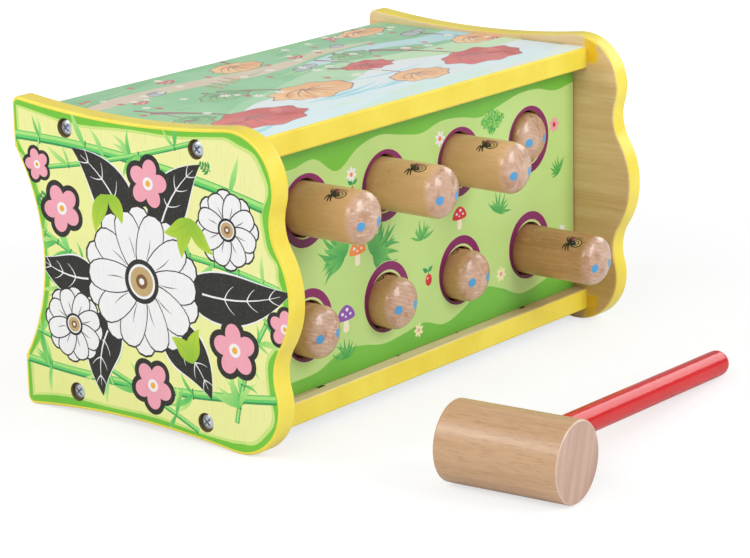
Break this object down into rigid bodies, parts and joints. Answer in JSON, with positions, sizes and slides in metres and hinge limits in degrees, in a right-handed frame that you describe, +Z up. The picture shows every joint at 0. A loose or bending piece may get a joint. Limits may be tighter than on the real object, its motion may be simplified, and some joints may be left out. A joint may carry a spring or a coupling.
{
  "type": "whack-a-mole toy",
  "caption": "Wooden hammering toy: a box whose round pegs pop up in pairs when their partners are hit, lying on its side, with a loose wooden mallet.",
  "frame": {"origin": "middle of the floor area that the toy and its mallet take up, at floor level", "axes": "+Z up; +X along the toy's length towards its plain-faced far end; +Y from the mole side towards the feet that it stands on in play"},
  "size_m": [0.261, 0.2797, 0.1412],
  "materials": {
    "painted_panel": "painted and printed board, satin lacquer",
    "painted_board": "painted and printed board, satin lacquer",
    "printed_board": "printed green board, satin lacquer",
    "plain_board": "bare plywood",
    "steel_rod": "bright drawn steel",
    "zinc_screw": "zinc plated",
    "spacer_tube": "moulded",
    "rocker_wood": "bare plywood",
    "peg_wood": "smooth turned wood, thin lacquer",
    "mallet_wood": "smooth turned wood, clear lacquer",
    "red_lacquer": "gloss red lacquer"
  },
  "bodies": {
    "case": {"left_end_panel": "painted_panel", "right_end_panel": "painted_panel", "upper_side_board": "painted_board", "lower_side_board": "painted_board", "mole_board": "printed_board", "guide_board": "plain_board", "base_board": "plain_board", "axle_rod": "steel_rod", "axle_spacer_1": "spacer_tube", "axle_spacer_2": "spacer_tube", "axle_spacer_3": "spacer_tube", "axle_spacer_4": "spacer_tube", "axle_spacer_5": "spacer_tube", "left_panel_screws": "zinc_screw", "right_panel_screws": "zinc_screw"},
    "upper_mole_1": {"upper_peg_1": "peg_wood", "upper_peg_pin_1": "steel_rod"},
    "lower_mole_1": {"lower_peg_1": "peg_wood", "lower_peg_pin_1": "steel_rod"},
    "rocker_1": {"rocker_1": "rocker_wood"},
    "upper_mole_2": {"upper_peg_2": "peg_wood", "upper_peg_pin_2": "steel_rod"},
    "lower_mole_2": {"lower_peg_2": "peg_wood", "lower_peg_pin_2": "steel_rod"},
    "rocker_2": {"rocker_2": "rocker_wood"},
    "upper_mole_3": {"upper_peg_3": "peg_wood", "upper_peg_pin_3": "steel_rod"},
    "lower_mole_3": {"lower_peg_3": "peg_wood", "lower_peg_pin_3": "steel_rod"},
    "rocker_3": {"rocker_3": "rocker_wood"},
    "upper_mole_4": {"upper_peg_4": "peg_wood", "upper_peg_pin_4": "steel_rod"},
    "lower_mole_4": {"lower_peg_4": "peg_wood", "lower_peg_pin_4": "steel_rod"},
    "rocker_4": {"rocker_4": "rocker_wood"},
    "mallet": {"mallet_head": "mallet_wood", "mallet_handle": "red_lacquer"}
  },
  "joints": [
    {"name": "upper_mole_slide_1", "type": "slide", "parent": "case", "child": "upper_mole_1", "axis": [0, 1, 0], "range_m": [-0.0066, 0.0306]},
    {"name": "lower_mole_slide_1", "type": "slide", "parent": "case", "child": "lower_mole_1", "axis": [0, 1, 0], "range_m": [-0.0306, 0.0066]},
    {"name": "rocker_turn_1", "type": "hinge", "parent": "case", "child": "rocker_1", "pos_m": [-0.0822, 0.0974, 0.0706], "axis": [1, 0, 0], "range_deg": [-58.34, 12.59]},
    {"name": "upper_mole_slide_2", "type": "slide", "parent": "case", "child": "upper_mole_2", "axis": [0, 1, 0], "range_m": [-0.0066, 0.0306]},
    {"name": "lower_mole_slide_2", "type": "slide", "parent": "case", "child": "lower_mole_2", "axis": [0, 1, 0], "range_m": [-0.0306, 0.0066]},
    {"name": "rocker_turn_2", "type": "hinge", "parent": "case", "child": "rocker_2", "pos_m": [-0.0274, 0.0974, 0.0706], "axis": [1, 0, 0], "range_deg": [-58.34, 12.59]},
    {"name": "upper_mole_slide_3", "type": "slide", "parent": "case", "child": "upper_mole_3", "axis": [0, 1, 0], "range_m": [-0.0066, 0.0306]},
    {"name": "lower_mole_slide_3", "type": "slide", "parent": "case", "child": "lower_mole_3", "axis": [0, 1, 0], "range_m": [-0.0306, 0.0066]},
    {"name": "rocker_turn_3", "type": "hinge", "parent": "case", "child": "rocker_3", "pos_m": [0.0274, 0.0974, 0.0706], "axis": [1, 0, 0], "range_deg": [-58.34, 12.59]},
    {"name": "upper_mole_slide_4", "type": "slide", "parent": "case", "child": "upper_mole_4", "axis": [0, 1, 0], "range_m": [-0.0372, 0]},
    {"name": "lower_mole_slide_4", "type": "slide", "parent": "case", "child": "lower_mole_4", "axis": [0, 1, 0], "range_m": [0, 0.0372]},
    {"name": "rocker_turn_4", "type": "hinge", "parent": "case", "child": "rocker_4", "pos_m": [0.0822, 0.0974, 0.0706], "axis": [1, 0, 0], "range_deg": [0, 70.92]},
    {"name": "mallet_lift", "type": "slide", "parent": "case", "child": "mallet", "axis": [0, 0, 1], "range_m": [0, 0.15]}
  ],
  "couplings": [
    {"joint": "lower_mole_slide_1", "follows": "upper_mole_slide_1", "ratio": -1},
    {"joint": "rocker_turn_1", "follows": "upper_mole_slide_1", "rad_per_m": -33.272},
    {"joint": "lower_mole_slide_2", "follows": "upper_mole_slide_2", "ratio": -1},
    {"joint": "rocker_turn_2", "follows": "upper_mole_slide_2", "rad_per_m": -33.272},
    {"joint": "lower_mole_slide_3", "follows": "upper_mole_slide_3", "ratio": -1},
    {"joint": "rocker_turn_3", "follows": "upper_mole_slide_3", "rad_per_m": -33.272},
    {"joint": "lower_mole_slide_4", "follows": "upper_mole_slide_4", "ratio": -1},
    {"joint": "rocker_turn_4", "follows": "upper_mole_slide_4", "rad_per_m": -33.272}
  ]
}
